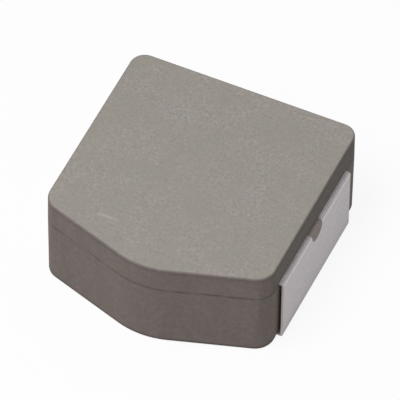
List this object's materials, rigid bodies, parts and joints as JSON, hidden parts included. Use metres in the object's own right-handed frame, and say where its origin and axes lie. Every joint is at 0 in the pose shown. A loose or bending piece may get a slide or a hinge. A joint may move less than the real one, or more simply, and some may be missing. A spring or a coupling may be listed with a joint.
{
  "type": "shielded power inductor",
  "caption": "Moulded shielded power inductor for surface mounting: flat square block with one side drawn out to a blunt nose, and a wide tinned terminal wrapped round each of two sides.",
  "frame": {"origin": "middle of the overall footprint, on the plane of the two solder faces", "axes": "+X from the left terminal to the right terminal, -Y towards the nose of the body, +Z away from the board"},
  "size_m": [0.0168, 0.0168, 0.0071],
  "materials": {
    "pressed_powder": "matt pressed iron powder in resin, warm grey, fine grain",
    "enamelled_copper": "copper wire under clear amber enamel",
    "tinned_strip": "satin tin plate on copper strip"
  },
  "bodies": {
    "root": {"moulded_body": "pressed_powder", "coil": "enamelled_copper", "terminal_right": "tinned_strip", "terminal_left": "tinned_strip"}
  },
  "joints": []
}
